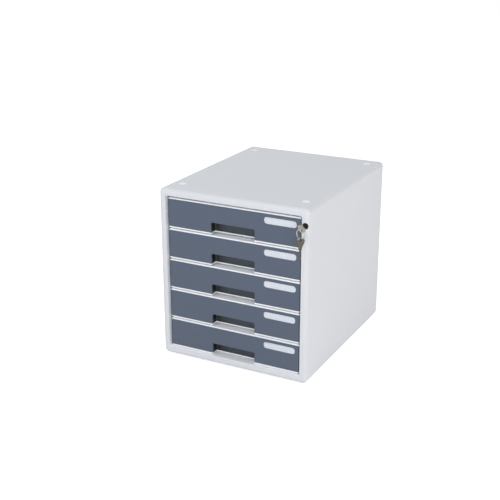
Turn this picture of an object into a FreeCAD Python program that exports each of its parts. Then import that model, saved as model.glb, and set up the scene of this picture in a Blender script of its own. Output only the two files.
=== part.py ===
"""Five-drawer desktop file cabinet with a gang lock, a key in the lock and a spare key.

Millimetres, +Z up, drawers open towards -Y.  The pieces are modelled with x = 0 on the
centre plane, y = 0 on the front face and z = 0 on the shell's underside, and are then
moved so that the origin is on the desk, below the middle of the shell.
"""
import FreeCAD, Part
import math
import os

V = FreeCAD.Vector
X_AXIS, Y_AXIS, Z_AXIS = V(1, 0, 0), V(0, 1, 0), V(0, 0, 1)

# ---- Casing ---------------------------------------------------------------------------
WIDTH = 300.0                 # outside of the shell
DEPTH = 368.0
HEIGHT = 330.0                # shell only, without the feet
EDGE_RADIUS = 8.0             # all outer edges of the shell
WALL = 3.0
SIDE_STRIP = 13.3             # front frame beside the opening
TOP_STRIP = 13.5
BOTTOM_STRIP = 15.5
OPENING_CORNER = 3.0
OPENING_ROUND = 2.0           # rounding from the face into the opening
RETURN_WALL = 2.3             # inward collar round the opening
RETURN_DEPTH = 10.0
SILL_DEPTH = 27.0             # collar's lower side, seen through the lowest finger pocket
BACK_THICKNESS = 3.0
BACK_INSET = 1.0              # how far the back panel lies inside the rear edge
BACK_BOSS = 10.0              # square screw bosses in the rear corners
BACK_BOSS_LENGTH = 14.0
BACK_PANEL_PLAY = 0.3
BACK_FIELD_MARGIN = 22.0      # raised border round the back panel's sunk field
BACK_FIELD_DEPTH = 1.0

FOOT_RADIUS = 7.0
FOOT_HEIGHT = 3.0             # below the shell
FOOT_INSET_X = 25.0           # from the side of the shell
FOOT_INSET_FRONT = 43.0
FOOT_INSET_BACK = 35.0
DIMPLE_DEPTH = 1.2            # stacking dish in the top, above each foot
DIMPLE_CLEARANCE = 0.6

# ---- Drawers --------------------------------------------------------------------------
DRAWER_COUNT = 5
TOP_GAP = 3.5                 # opening to the top drawer
BOTTOM_GAP = 0.8              # bottom drawer to the opening
DRAWER_GAP = 2.05             # between two drawers
SIDE_GAP = 3.3                # drawer front to the opening
FRONT_RECESS = 5.6            # drawer fronts behind the front face
RIM = 2.7                     # light edge above the dark panel
LIP = 2.6                     # light edge below it
PANEL_THICKNESS = 2.4
PANEL_PROUD = 0.4             # panel in front of the rim
PANEL_BEVEL = 0.6
FRONT_WALL = 2.5              # tray wall behind the panel
TRAY_WALL = 2.0
TRAY_FLOOR = 2.0
TRAY_SIDE_INSET = 3.0         # tray side behind the ends of the drawer front
TRAY_CORNER = 10.0
TRAY_TOP_DROP = 7.0           # tray walls below the front's rim
TRAY_REAR_SPACE = 16.0        # behind the tray when shut
FLOOR_LIFT = 0.6              # tray floor above the lip's lower edge
CHEEK_LENGTH = 8.0            # the frame's cheeks reach this far into the tray
CHEEK_DROP = 3.0              # cheeks below the tray's upper edge
FLOOR_RIB = 1.0               # height,
FLOOR_RIB_WIDTH = 1.5         # width and
FLOOR_RIB_PITCH = 84.0        # spacing of the ribs across the tray floor

POCKET_WIDTH = 88.0           # finger pocket in the drawer front
POCKET_DEPTH = 15.0
POCKET_NOTCH = 19.5           # height of the notch in the panel
POCKET_CROWN = 5.5            # pocket goes this much higher behind the panel
POCKET_CORNER = 3.0
LINER_WALL = 1.8
FIT = 0.1                     # between parts that are pressed or clipped together
TAB_WIDTH = 6.0               # tabs on the panel's back, pressed into the tray
TAB_HEIGHT = 2.0
TAB_INSET_X = 14.0

LABEL_WIDTH = 63.2
LABEL_HEIGHT = 12.7
LABEL_CORNER = 5.5
LABEL_FROM_RIGHT = 7.9        # right end of the window to the panel's end
LABEL_FROM_TOP = 6.0
LABEL_SEAT = 1.3
CARD_THICKNESS = 0.3
COVER_THICKNESS = 1.1
COVER_CHAMFER = 0.3

# ---- Runners --------------------------------------------------------------------------
RUNNER_PANEL = 2.2            # thickness of the inner side panels
RUNNER_SETBACK = 0.3          # inner face outside the opening's wall
RUNNER_BEHIND_BAR = 1.3       # runner panels behind the lock bar
RUNNER_END_GAP = 1.0          # runner panel to the back panel's screw bosses
RUNNER_PLAY = 0.2             # runner panel in the shell's ribs
RUNNER_RIB = 1.5              # thickness and
RUNNER_RIB_HEIGHT = 4.0       # height of the ribs that hold its edges
FLANGE_THICKNESS = 2.0
FLANGE_RISE = 30.0            # flange above the lip's lower edge
FLANGE_CLEARANCE = 0.5        # flange to the opening's wall
STRIP_WEB = 1.2               # runner strip's upright part, on the tray's side
STRIP_WEB_REACH = 3.0         # above and below the flange
FLANGE_SETBACK = 21.0         # flange from the front of the runner panels
FLANGE_LEAD = 8.0             # slanted front end of the flange
LEDGE_THICKNESS = 2.4
LEDGE_SETBACK = 5.0           # ledge from the front of the runner panels
LEDGE_PAST = 8.0              # ledge behind the flange's rear end
LEDGE_CLEARANCE = 1.8         # ledge to the tray's side
SLIDE_GAP = 0.3               # flange above its ledge
GUIDE_GAP = 0.4               # guide block above the flange
GUIDE_HEIGHT = 5.0
GUIDE_SETBACK = 7.0           # guide block from the front of the runner panels
GUIDE_LEAD = 4.0              # slanted front end of the guide block
TRAVEL = 250.0
STOP_TOOTH = 3.2              # height and
STOP_TOOTH_LENGTH = 5.0       # length of the tooth that meets the guide block
STOP_MARGIN = 0.5             # left at full travel
REAR_STOP_GAP = 0.6
REAR_STOP_LENGTH = 4.0
REAR_STOP_HEIGHT = 6.0
STIFFENER = 2.0
STIFFENER_REACH = 6.0
STIFFENER_INSET = 60.0        # outer stiffeners from the ends of the runner panel
SCREW_RADIUS = 1.5
SCREW_HEAD_RADIUS = 3.0
SCREW_HEAD_HEIGHT = 2.0
SCREW_LENGTH = 8.0
SCREW_PILOT = 0.05            # pilot hole round the shank

# ---- Lock -----------------------------------------------------------------------------
LOCK_INSET = 6.0              # lock axis from the side of the shell
LOCK_DROP = 29.3              # lock axis below the top of the shell
LOCK_PAD_RADIUS = 8.0         # flat pad on the rounded corner
LOCK_FACE_RADIUS = 5.65
LOCK_FACE_PROUD = 1.4
LOCK_FACE_CHAMFER = 0.5
BARREL_RADIUS = 4.2
BARREL_LENGTH = 16.5
BARREL_POCKET_RADIUS = 4.8
PLUG_RADIUS = 3.0
PLUG_CLEARANCE = 0.06
PLUG_HEAD_RADIUS = 3.9
PLUG_HEAD = 1.0
PLUG_TAIL = 3.2               # square behind the plug that drives the cam
CLIP_THICKNESS = 0.7
CLIP_OUTER_RADIUS = 4.65
CLIP_GROOVE = 0.5
CLIP_PLAY = 0.05
CLIP_MOUTH = 4.8
CAM_THICKNESS = 1.6
CAM_GAP = 0.3
CAM_THROW = 5.0               # pin centre from the lock axis
CAM_PIN_RADIUS = 1.2
CAM_HUB_RADIUS = 3.8
CAM_ARM_RADIUS = 2.6
CAM_SQUARE_PLAY = 0.02
CAM_PIN_END = 0.8             # pin behind the bar
KEY_LEAN = 45.0               # key and cam, degrees each side of the middle of the turn
CAM_SCREW_HEAD = 2.0
CAM_SCREW_HEAD_RADIUS = 3.0
CAM_SCREW_RADIUS = 1.0
CAM_SCREW_LENGTH = 1.4
BAR_THICKNESS = 1.8
BAR_WIDTH = 8.0
BAR_FROM_WALL = 0.8           # bar to the inside of the shell's wall
BAR_BEHIND_SCREW = 1.5
BAR_END_GAP = 4.0             # bar to the shell's floor and ceiling
BAR_HEAD_MARGIN = 2.4         # metal above and below the pin's slot
BAR_HEAD_SIDE = 1.0           # metal at the slot's inner end, clear of the drawers' flanges
PIN_PLAY = 0.35               # pin in the bar's slot
HOOK_HEIGHT = 6.0
HOOK_GUSSET = 3.0             # extra height where the hook leaves the bar
HOOK_TO_TRAY = 1.8
LUG_HEIGHT = 8.4
LUG_PROUD = 4.2
LUG_LENGTH = 4.0
LUG_GAP = 0.6                 # lug behind the hook, and above it when unlocked
GUIDE_BLOCK_WALL = 1.5
GUIDE_BLOCK_HEIGHT = 9.0
GUIDE_BLOCK_WRAP = 4.6
GUIDE_BLOCK_DROP = 16.0       # block below the hook above it

# ---- Keys -----------------------------------------------------------------------------
KEY_LENGTH = 40.0
KEY_THICKNESS = 1.8
KEY_BOW_RADIUS = 8.0
KEY_BOW_LENGTH = 19.0
KEY_NECK_WIDTH = 6.0
KEY_NECK_LENGTH = 3.5
KEY_BOW_DROP = 3.0            # bow's widest point to the corner of its taper
KEY_BOW_TAPER = 0.6
KEY_BLADE_WIDTH = 3.8
KEY_BITE = 0.9                # deep cuts in the blade
KEY_SHALLOW_BITE = 0.54       # shallow cuts, between the deep ones
KEY_CUTS = 4
KEY_CUTS_START = 1.5          # from the shoulder
KEY_TIP = 2.0                 # length and
KEY_TIP_TAPER = 1.4           # width of the slope at the tip
KEY_GROOVE_WIDTH = 1.0
KEY_GROOVE_DEPTH = 0.45
KEY_HOLE_RADIUS = 2.9
KEY_HOLE_FROM_END = 4.8
KEY_STANDOFF = 0.5            # shoulder in front of the lock's face
KEYWAY_PLAY = 0.12
RING_RADIUS = 8.4             # middle of the wire
RING_WIRE = 0.7
RING_SPLIT = 0.25             # groove between the ring's two turns
RING_BEVEL = 0.3
RING_YAW = -15.5              # ring about Z, degrees
SPARE_YAW = 55.0              # spare key about Z
HANG_GAP = 0.3                # wire to the edge of a hole that hangs on it

# ---- Construction -----------------------------------------------------------------------
EMBED = 0.5                   # how far fused volumes reach into each other
PAST = 1.0                    # how far cutting volumes pass a face
TOUCH = 0.01                  # edge and face comparisons

# ---- Levels and planes that several pieces share -----------------------------------------
HALF = WIDTH / 2
SHELL_TOP = HEIGHT
FLOOR_TOP = WALL
CEILING = SHELL_TOP - WALL
WALL_INSIDE = HALF - WALL
OPENING_HALF = HALF - SIDE_STRIP
OPENING_BOTTOM = BOTTOM_STRIP
OPENING_TOP = SHELL_TOP - TOP_STRIP
BACK_FACE = DEPTH - BACK_INSET - BACK_THICKNESS

OPENING_HEIGHT = OPENING_TOP - OPENING_BOTTOM
GAPS = TOP_GAP + BOTTOM_GAP + (DRAWER_COUNT - 1) * DRAWER_GAP
DRAWER_HEIGHT = (OPENING_HEIGHT - GAPS) / DRAWER_COUNT
DRAWER_HALF = OPENING_HALF - SIDE_GAP
PANEL_FACE = FRONT_RECESS - PANEL_PROUD
PANEL_BACK = FRONT_RECESS + PANEL_THICKNESS
FRONT_BACK = PANEL_BACK + FRONT_WALL
TRAY_HALF = DRAWER_HALF - TRAY_SIDE_INSET
TRAY_BACK = BACK_FACE - TRAY_REAR_SPACE
PANEL_HEIGHT = DRAWER_HEIGHT - RIM - LIP
POCKET_BACK = FRONT_RECESS + POCKET_DEPTH
POCKET_TOP = LIP + POCKET_NOTCH + POCKET_CROWN
LABEL_CENTRE_X = DRAWER_HALF - LABEL_FROM_RIGHT - LABEL_WIDTH / 2
LABEL_CENTRE_Z = DRAWER_HEIGHT - RIM - LABEL_FROM_TOP - LABEL_HEIGHT / 2

RUNNER_FACE = OPENING_HALF + RUNNER_SETBACK
RUNNER_BACK = BACK_FACE - BACK_BOSS_LENGTH - RUNNER_END_GAP
FLANGE_HALF = OPENING_HALF - FLANGE_CLEARANCE
FLANGE_BACK = TRAY_BACK - TRAY_CORNER
LEDGE_INNER = TRAY_HALF + LEDGE_CLEARANCE
TOOTH_FRONT = FLANGE_BACK - STOP_TOOTH_LENGTH
GUIDE_BACK = TOOTH_FRONT - TRAVEL - STOP_MARGIN

LOCK_X = HALF - LOCK_INSET
LOCK_Z = SHELL_TOP - LOCK_DROP
CAM_FRONT = BARREL_LENGTH + CAM_GAP
CAM_BACK = CAM_FRONT + CAM_THICKNESS
BAR_FRONT = CAM_BACK + CAM_SCREW_HEAD + BAR_BEHIND_SCREW
BAR_BACK = BAR_FRONT + BAR_THICKNESS
BAR_OUTER = WALL_INSIDE - BAR_FROM_WALL
BAR_INNER = BAR_OUTER - BAR_WIDTH
LEAN = math.radians(KEY_LEAN)
BAR_STROKE = 2 * CAM_THROW * math.sin(LEAN)
PIN_REST_Z = LOCK_Z - CAM_THROW * math.sin(LEAN)
LUG_FRONT = BAR_BACK + LUG_GAP
RUNNER_FRONT = BAR_BACK + RUNNER_BEHIND_BAR
LEDGE_FRONT = RUNNER_FRONT + LEDGE_SETBACK
GUIDE_FRONT = RUNNER_FRONT + GUIDE_SETBACK
FLANGE_FRONT = RUNNER_FRONT + FLANGE_SETBACK

KEY_SHOULDER = LOCK_FACE_PROUD + PLUG_CLEARANCE + KEY_STANDOFF
KEY_REACH = KEY_SHOULDER + KEY_BOW_LENGTH + KEY_NECK_LENGTH
KEY_HOLE_Y = -(KEY_REACH - KEY_HOLE_FROM_END)
BLADE_LENGTH = KEY_LENGTH - KEY_BOW_LENGTH - KEY_NECK_LENGTH


def drawer_base(index):
    """Lower edge of drawer 1 (top) to drawer 5 (bottom)."""
    return OPENING_TOP - TOP_GAP - index * DRAWER_HEIGHT - (index - 1) * DRAWER_GAP


# ---- Small shape helpers -----------------------------------------------------------------
def block(x0, x1, y0, y1, z0, z1):
    return Part.makeBox(x1 - x0, y1 - y0, z1 - z0, V(x0, y0, z0))


def cylinder(radius, start, direction, length):
    return Part.makeCylinder(radius, length, start, direction)


def prism(points, along):
    """Closed polygon of points, pushed along a vector."""
    return Part.Face(Part.makePolygon(points + [points[0]])).extrude(along)


def fuse(shapes):
    joined = shapes[0]
    if len(shapes) > 1:
        joined = joined.multiFuse(shapes[1:])
    return joined.removeSplitter()


def mirrored(shape):
    return shape.mirror(V(0, 0, 0), X_AXIS)


def edges_along(shape, axis, test):
    """Straight edges parallel to an axis whose middle passes the test."""
    found = []
    for edge in shape.Edges:
        if not isinstance(edge.Curve, Part.Line):
            continue
        direction = edge.Curve.Direction
        middle = edge.valueAt((edge.FirstParameter + edge.LastParameter) / 2)
        if abs(direction.dot(axis)) > 0.999 and test(middle):
            found.append(edge)
    return found


def edge_within(edge, x0, x1, z0, z1):
    """True if the edge lies inside a frame of the XZ plane."""
    box = edge.BoundBox
    across = box.XMin > x0 - TOUCH and box.XMax < x1 + TOUCH
    return across and box.ZMin > z0 - TOUCH and box.ZMax < z1 + TOUCH


def rounded_block(x0, x1, y0, y1, z0, z1, radius):
    """Block whose four edges along Y are rounded."""
    shape = block(x0, x1, y0, y1, z0, z1)
    return shape.makeFillet(radius, edges_along(shape, Y_AXIS, lambda p: True))


def save(name, shape):
    placed = shape.copy()
    placed.translate(V(0, -DEPTH / 2, FOOT_HEIGHT))
    placed.exportStep("parts/" + name + ".step")
    print(name, len(placed.Solids), placed.isValid(), round(placed.Volume, 1))


# ---- Casing pieces -------------------------------------------------------------------------
def foot_places():
    places = []
    for x in (-HALF + FOOT_INSET_X, HALF - FOOT_INSET_X):
        for y in (FOOT_INSET_FRONT, DEPTH - FOOT_INSET_BACK):
            places.append((x, y))
    return places


def back_screw_places():
    inset = WALL + BACK_BOSS / 2
    places = []
    for x in (-HALF + inset, HALF - inset):
        for z in (inset, SHELL_TOP - inset):
            places.append((x, z))
    return places


def stacking_dish(x, y):
    """Shallow dish that the foot of a second cabinet stands in."""
    mouth = FOOT_RADIUS + DIMPLE_CLEARANCE
    start = V(x, y, SHELL_TOP - DIMPLE_DEPTH)
    return Part.makeCone(mouth - DIMPLE_DEPTH, mouth, DIMPLE_DEPTH, start, Z_AXIS)


def cabinet_shell():
    """Rounded box, open at the back, with a collar round the front opening."""
    body = block(-HALF, HALF, 0, DEPTH, 0, SHELL_TOP)
    body = body.makeFillet(EDGE_RADIUS, body.Edges)

    pad = cylinder(LOCK_PAD_RADIUS, V(LOCK_X, 0, LOCK_Z), Y_AXIS, EDGE_RADIUS + WALL)
    pad = pad.common(block(0, HALF, 0, DEPTH, 0, SHELL_TOP))
    body = body.fuse(pad).removeSplitter()

    inner_radius = EDGE_RADIUS - WALL
    cavity = rounded_block(-WALL_INSIDE, WALL_INSIDE, WALL, DEPTH + PAST,
                           FLOOR_TOP, CEILING, inner_radius)
    collar = rounded_block(-OPENING_HALF - RETURN_WALL, OPENING_HALF + RETURN_WALL,
                           WALL, RETURN_DEPTH, OPENING_BOTTOM - RETURN_WALL,
                           OPENING_TOP + RETURN_WALL, OPENING_CORNER + RETURN_WALL)
    sill = block(-OPENING_HALF, OPENING_HALF, WALL, SILL_DEPTH,
                 OPENING_BOTTOM - RETURN_WALL, OPENING_BOTTOM)
    lock_support = cylinder(LOCK_PAD_RADIUS, V(LOCK_X, WALL, LOCK_Z), Y_AXIS,
                            BARREL_LENGTH - WALL)
    lock_support = lock_support.common(block(LOCK_X, WALL_INSIDE + EMBED, 0, DEPTH,
                                             0, SHELL_TOP))
    body = body.cut(cavity).fuse([collar, sill, lock_support])
    body = body.cut(rounded_block(-OPENING_HALF, OPENING_HALF, -PAST, RETURN_DEPTH + PAST,
                                  OPENING_BOTTOM, OPENING_TOP, OPENING_CORNER))

    rim = [edge for edge in body.Edges if edge.BoundBox.YMax < TOUCH
           and edge_within(edge, -OPENING_HALF, OPENING_HALF, OPENING_BOTTOM, OPENING_TOP)]
    body = body.makeFillet(OPENING_ROUND, rim)

    additions = []
    for x, z in back_screw_places():
        half = BACK_BOSS / 2
        additions.append(block(x - half, x + half, BACK_FACE - BACK_BOSS_LENGTH, BACK_FACE,
                               z - half, z + half))
    for side in (-1, 1):
        inner = RUNNER_FACE - RUNNER_PLAY - RUNNER_RIB
        outer = RUNNER_FACE + RUNNER_PANEL + RUNNER_PLAY
        for start in (inner, outer):
            ends = sorted((side * start, side * (start + RUNNER_RIB)))
            for bottom, top in ((FLOOR_TOP - EMBED, FLOOR_TOP + RUNNER_RIB_HEIGHT),
                                (CEILING - RUNNER_RIB_HEIGHT, CEILING + EMBED)):
                additions.append(block(ends[0], ends[1], RUNNER_FRONT, RUNNER_BACK, bottom, top))
    body = body.fuse(additions)

    cuts = []
    for x, z in back_screw_places():
        cuts.append(cylinder(SCREW_RADIUS + SCREW_PILOT, V(x, BACK_FACE - SCREW_LENGTH, z),
                             Y_AXIS, SCREW_LENGTH + PAST))
    for x, y in foot_places():
        cuts.append(stacking_dish(x, y))
    cuts.append(cylinder(BARREL_RADIUS + FIT, V(LOCK_X, -PAST, LOCK_Z), Y_AXIS, WALL + 2 * PAST))
    cuts.append(cylinder(BARREL_POCKET_RADIUS, V(LOCK_X, WALL, LOCK_Z), Y_AXIS,
                         BAR_FRONT - WALL))
    return body.cut(cuts).removeSplitter()


def back_panel():
    """Plate inside the rear edge, with a sunk field and clearance holes for its screws."""
    half = WALL_INSIDE - BACK_PANEL_PLAY
    bottom = FLOOR_TOP + BACK_PANEL_PLAY
    top = CEILING - BACK_PANEL_PLAY
    rear = BACK_FACE + BACK_THICKNESS
    plate = rounded_block(-half, half, BACK_FACE, rear, bottom, top, EDGE_RADIUS - WALL)
    field = rounded_block(-half + BACK_FIELD_MARGIN, half - BACK_FIELD_MARGIN,
                          rear - BACK_FIELD_DEPTH, DEPTH, bottom + BACK_FIELD_MARGIN,
                          top - BACK_FIELD_MARGIN, EDGE_RADIUS)
    cuts = [field]
    for x, z in back_screw_places():
        cuts.append(cylinder(SCREW_RADIUS + BACK_PANEL_PLAY, V(x, BACK_FACE - PAST, z), Y_AXIS,
                             BACK_THICKNESS + 2 * PAST))
    return plate.cut(cuts)


def feet():
    """Rubber feet stuck to the underside, below the dishes in the top."""
    return Part.makeCompound([cylinder(FOOT_RADIUS, V(x, y, -FOOT_HEIGHT), Z_AXIS, FOOT_HEIGHT)
                              for x, y in foot_places()])


def screw(start, inward):
    """Pan-head screw: head outside start, shank along inward."""
    shank = cylinder(SCREW_RADIUS, start, inward, SCREW_LENGTH)
    head = cylinder(SCREW_HEAD_RADIUS, start - inward * SCREW_HEAD_HEIGHT, inward,
                    SCREW_HEAD_HEIGHT)
    return shank.fuse(head).removeSplitter()


def back_screws():
    outer = BACK_FACE + BACK_THICKNESS
    return Part.makeCompound([screw(V(x, outer, z), Y_AXIS * -1)
                              for x, z in back_screw_places()])


# ---- Runner panels --------------------------------------------------------------------------
def ledge(base):
    """Ledge that carries one flange: flat on top, sloped underneath."""
    top = base + FLANGE_RISE - SLIDE_GAP
    points = [V(LEDGE_INNER, LEDGE_FRONT, top),
              V(RUNNER_FACE + EMBED, LEDGE_FRONT, top),
              V(RUNNER_FACE + EMBED, LEDGE_FRONT, top - 2 * LEDGE_THICKNESS),
              V(LEDGE_INNER, LEDGE_FRONT, top - LEDGE_THICKNESS / 2)]
    return prism(points, Y_AXIS * (FLANGE_BACK + LEDGE_PAST - LEDGE_FRONT))


def guide_block(base):
    """Block above the flange: keeps the drawer level and stops it at full travel."""
    bottom = base + FLANGE_RISE + FLANGE_THICKNESS + GUIDE_GAP
    points = [V(LEDGE_INNER, GUIDE_FRONT + GUIDE_LEAD, bottom),
              V(RUNNER_FACE + EMBED, GUIDE_FRONT, bottom),
              V(RUNNER_FACE + EMBED, GUIDE_BACK, bottom),
              V(LEDGE_INNER, GUIDE_BACK, bottom)]
    return prism(points, Z_AXIS * GUIDE_HEIGHT)


def rear_stop(base):
    """Block on the ledge that the flange's rear end meets when the drawer is shut."""
    bottom = base + FLANGE_RISE - SLIDE_GAP - EMBED
    start = FLANGE_BACK + REAR_STOP_GAP
    return block(LEDGE_INNER, RUNNER_FACE + EMBED, start, start + REAR_STOP_LENGTH,
                 bottom, bottom + REAR_STOP_HEIGHT)


def runner_panel():
    """Right-hand runner panel; the left one is its mirror image."""
    outer = RUNNER_FACE + RUNNER_PANEL
    pieces = [block(RUNNER_FACE, outer, RUNNER_FRONT, RUNNER_BACK,
                    FLOOR_TOP + RUNNER_PLAY, CEILING - RUNNER_PLAY)]
    for index in range(1, DRAWER_COUNT + 1):
        base = drawer_base(index)
        pieces += [ledge(base), guide_block(base), rear_stop(base)]
    middle = (RUNNER_FRONT + RUNNER_BACK) / 2
    for y in (RUNNER_FRONT + STIFFENER_INSET, middle, RUNNER_BACK - STIFFENER_INSET):
        pieces.append(block(outer - EMBED, outer + STIFFENER_REACH, y, y + STIFFENER,
                            FLOOR_TOP + EDGE_RADIUS, CEILING - EDGE_RADIUS))
    return fuse(pieces)


# ---- Drawer pieces ---------------------------------------------------------------------------
def pocket_block(margin, bottom, top):
    """Finger-pocket volume grown by a margin; only the pocket itself has round corners."""
    half = POCKET_WIDTH / 2 + margin
    back = POCKET_BACK + margin
    shape = block(-half, half, 0, back, bottom, top)
    if margin > 0:
        return shape
    rear = edges_along(shape, Z_AXIS, lambda p: p.y > back - 0.01)
    return shape.makeFillet(POCKET_CORNER, rear)


def drawer_frame(base):
    """Light front frame: rim, lip, the handle box round the pocket, cheeks for the tray."""
    top = base + DRAWER_HEIGHT
    front = rounded_block(-DRAWER_HALF, DRAWER_HALF, FRONT_RECESS, FRONT_BACK, base, top,
                          OPENING_CORNER)
    panel_seat = block(-DRAWER_HALF - PAST, DRAWER_HALF + PAST, FRONT_RECESS - PAST, PANEL_BACK,
                       base + LIP, top - RIM)
    front = front.cut(panel_seat)
    liner = LINER_WALL + FIT
    handle_box = pocket_block(liner + TRAY_WALL, base, top)
    handle_box = handle_box.common(block(-HALF, HALF, PANEL_BACK, TRAY_BACK, base, top))
    pieces = [front, handle_box]
    for side in (-1, 1):
        outer = TRAY_HALF - TRAY_WALL - FIT
        ends = sorted((side * outer, side * (outer - TRAY_WALL)))
        pieces.append(block(ends[0], ends[1], FRONT_BACK - EMBED, FRONT_BACK + CHEEK_LENGTH,
                            base + FLOOR_LIFT + TRAY_FLOOR + FIT,
                            top - TRAY_TOP_DROP - CHEEK_DROP))
    body = fuse(pieces)
    cuts = [pocket_block(0, base - PAST, base + LIP + PAST),
            pocket_block(liner, base + LIP, top - RIM)]
    for x, z in tab_places(base):
        cuts.append(tab(x, z, PANEL_BACK - PAST, FRONT_BACK + PAST, FIT))
    return body.cut(cuts).removeSplitter()


def drawer_tray(base):
    """Light tray behind the frame: ribbed floor, sides and back."""
    top = base + DRAWER_HEIGHT - TRAY_TOP_DROP
    bottom = base + FLOOR_LIFT
    floor = bottom + TRAY_FLOOR
    box = block(-TRAY_HALF, TRAY_HALF, FRONT_BACK, TRAY_BACK, bottom, top)
    box = box.makeFillet(TRAY_CORNER, edges_along(box, Z_AXIS, lambda p: p.y > DEPTH / 2))
    inner = TRAY_HALF - TRAY_WALL
    hollow = block(-inner, inner, FRONT_BACK - PAST, TRAY_BACK - TRAY_WALL, floor, top + PAST)
    hollow = hollow.makeFillet(TRAY_CORNER - TRAY_WALL,
                               edges_along(hollow, Z_AXIS, lambda p: p.y > DEPTH / 2))
    pieces = [box.cut(hollow)]
    ribs = int((TRAY_BACK - FRONT_BACK) / FLOOR_RIB_PITCH)
    for number in range(1, ribs + 1):
        y = FRONT_BACK + number * FLOOR_RIB_PITCH
        pieces.append(block(-TRAY_HALF + EMBED, TRAY_HALF - EMBED, y, y + FLOOR_RIB_WIDTH,
                            floor - EMBED, floor + FLOOR_RIB))
    handle_box = pocket_block(LINER_WALL + TRAY_WALL + 2 * FIT, base - PAST, top)
    return fuse(pieces).cut(handle_box)


def runner_strips(base):
    """Strips on the tray's sides: flange with a stop tooth, on the right also the lock's lug."""
    flange_z = base + FLANGE_RISE
    flange_top = flange_z + FLANGE_THICKNESS
    solids = []
    for side in (-1, 1):
        inner = side * TRAY_HALF
        outer = side * FLANGE_HALF
        web_side = side * (TRAY_HALF + STRIP_WEB)
        web = block(min(inner, web_side), max(inner, web_side), LUG_FRONT, FLANGE_BACK,
                    flange_z - STRIP_WEB_REACH, flange_top + STRIP_WEB_REACH)
        flange = prism([V(inner, FLANGE_FRONT, flange_z), V(inner, FLANGE_BACK, flange_z),
                        V(outer, FLANGE_BACK, flange_z),
                        V(outer, FLANGE_FRONT + FLANGE_LEAD, flange_z)],
                       Z_AXIS * FLANGE_THICKNESS)
        tooth = prism([V(inner, TOOTH_FRONT, flange_top - EMBED),
                       V(inner, TOOTH_FRONT, flange_top + STOP_TOOTH),
                       V(inner, FLANGE_BACK, flange_top - EMBED)], X_AXIS * (outer - inner))
        pieces = [web, flange, tooth]
        if side > 0:
            pieces.append(block(inner, inner + LUG_PROUD, LUG_FRONT, LUG_FRONT + LUG_LENGTH,
                                flange_z - LUG_HEIGHT, flange_z))
        solids.append(fuse(pieces))
    return Part.makeCompound(solids)


def tab_places(base):
    """Tabs near the panel's ends, half-way up it."""
    middle = base + LIP + PANEL_HEIGHT / 2
    return [(-DRAWER_HALF + TAB_INSET_X, middle), (DRAWER_HALF - TAB_INSET_X, middle)]


def tab(x, z, front, back, play):
    """One of the tabs that hold the panel, or with play its slot in the tray."""
    half_width = TAB_WIDTH / 2 + play
    half_height = TAB_HEIGHT / 2 + play
    return block(x - half_width, x + half_width, front, back, z - half_height, z + half_height)


def label_block(base, front, back, shrink):
    """Window shape with round ends, between two depths."""
    centre_z = base + LABEL_CENTRE_Z
    half_width = LABEL_WIDTH / 2 - shrink
    half_height = LABEL_HEIGHT / 2 - shrink
    return rounded_block(LABEL_CENTRE_X - half_width, LABEL_CENTRE_X + half_width, front, back,
                         centre_z - half_height, centre_z + half_height, LABEL_CORNER - shrink)


def drawer_front(base):
    """Dark panel with its finger pocket, label seat and the tabs that hold it."""
    bottom = base + LIP + FIT
    top = base + DRAWER_HEIGHT - RIM - FIT
    plate = block(-DRAWER_HALF, DRAWER_HALF, PANEL_FACE, PANEL_BACK, bottom, top)
    notch_top = base + LIP + POCKET_NOTCH
    liner = pocket_block(LINER_WALL, bottom, base + POCKET_TOP + LINER_WALL)
    liner = liner.common(block(-HALF, HALF, PANEL_BACK - EMBED, TRAY_BACK, bottom, top))
    tabs = [tab(x, z, PANEL_BACK - EMBED, FRONT_BACK, 0) for x, z in tab_places(base)]
    body = fuse([plate, liner] + tabs)
    pocket = pocket_block(0, base, base + POCKET_TOP)
    pocket = pocket.common(block(-HALF, HALF, PANEL_BACK, TRAY_BACK, base, top))
    notch = rounded_block(-POCKET_WIDTH / 2, POCKET_WIDTH / 2, 0, PANEL_BACK + PAST,
                          base - POCKET_NOTCH, notch_top, POCKET_CORNER)
    body = body.cut([pocket, notch, label_block(base, 0, PANEL_FACE + LABEL_SEAT, 0)])
    centre = base + LABEL_CENTRE_Z
    window = (LABEL_CENTRE_X - LABEL_WIDTH / 2, LABEL_CENTRE_X + LABEL_WIDTH / 2,
              centre - LABEL_HEIGHT / 2, centre + LABEL_HEIGHT / 2)
    face_edges = [edge for edge in body.Edges
                  if edge.BoundBox.YMax < PANEL_FACE + TOUCH and not edge_within(edge, *window)]
    return body.makeChamfer(PANEL_BEVEL, face_edges)


def label_card(base):
    """Paper strip at the bottom of the label seat."""
    back = PANEL_FACE + LABEL_SEAT
    return label_block(base, back - CARD_THICKNESS, back, FIT)


def label_cover(base):
    """Clear strip pressed in over the card."""
    back = PANEL_FACE + LABEL_SEAT - CARD_THICKNESS
    cover = label_block(base, back - COVER_THICKNESS, back, FIT)
    face = [edge for edge in cover.Edges if edge.BoundBox.YMax < back - COVER_THICKNESS + TOUCH]
    return cover.makeChamfer(COVER_CHAMFER, face)


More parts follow.
